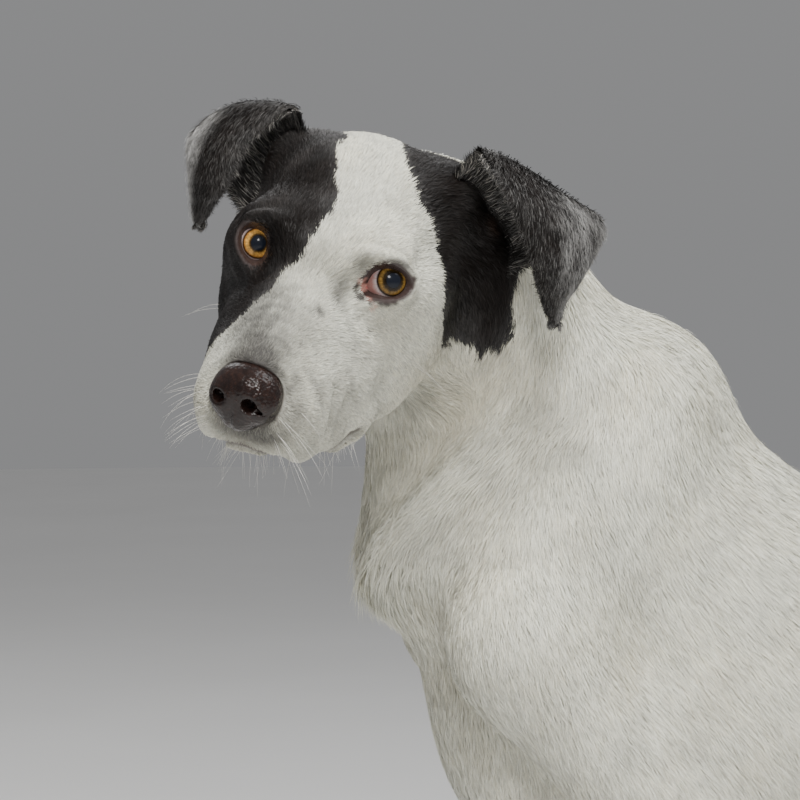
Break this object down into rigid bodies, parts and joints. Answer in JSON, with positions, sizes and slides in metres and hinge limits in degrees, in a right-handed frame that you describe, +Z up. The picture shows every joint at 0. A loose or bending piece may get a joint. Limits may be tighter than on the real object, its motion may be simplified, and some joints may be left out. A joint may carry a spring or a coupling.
{
  "type": "dog",
  "caption": "Smooth-coated white dog with black ears and eye patches, sitting upright with its head turned to its left; life-size still animal figure.",
  "frame": {"origin": "on the floor, below the middle of the whole dog", "axes": "+X towards the front of the body, +Y towards the dog's left, +Z up; the head is turned about 63 degrees from +X towards +Y"},
  "size_m": [0.6564, 0.369, 0.617],
  "materials": {
    "coat_white": "short smooth hair, matte with a soft sheen",
    "coat_black": "short silky hair, soft grey sheen",
    "nose_leather": "moist pebbled skin",
    "eye": "wet and glossy, amber iris",
    "claw": "smooth horn",
    "whisker": "smooth stiff hair"
  },
  "bodies": {
    "root": {"head": "coat_white", "lower_jaw": "coat_white", "nose": "nose_leather", "eye_left": "eye", "eye_right": "eye", "ear_left": "coat_black", "ear_right": "coat_black", "neck": "coat_white", "foreleg_left": "coat_white", "foreleg_right": "coat_white", "forepaw_left": "coat_white", "forepaw_right": "coat_white", "hindleg_left": "coat_white", "hindleg_right": "coat_white", "hindfoot_left": "coat_white", "hindfoot_right": "coat_white", "trunk": "coat_white", "tail": "coat_white"}
  },
  "joints": []
}
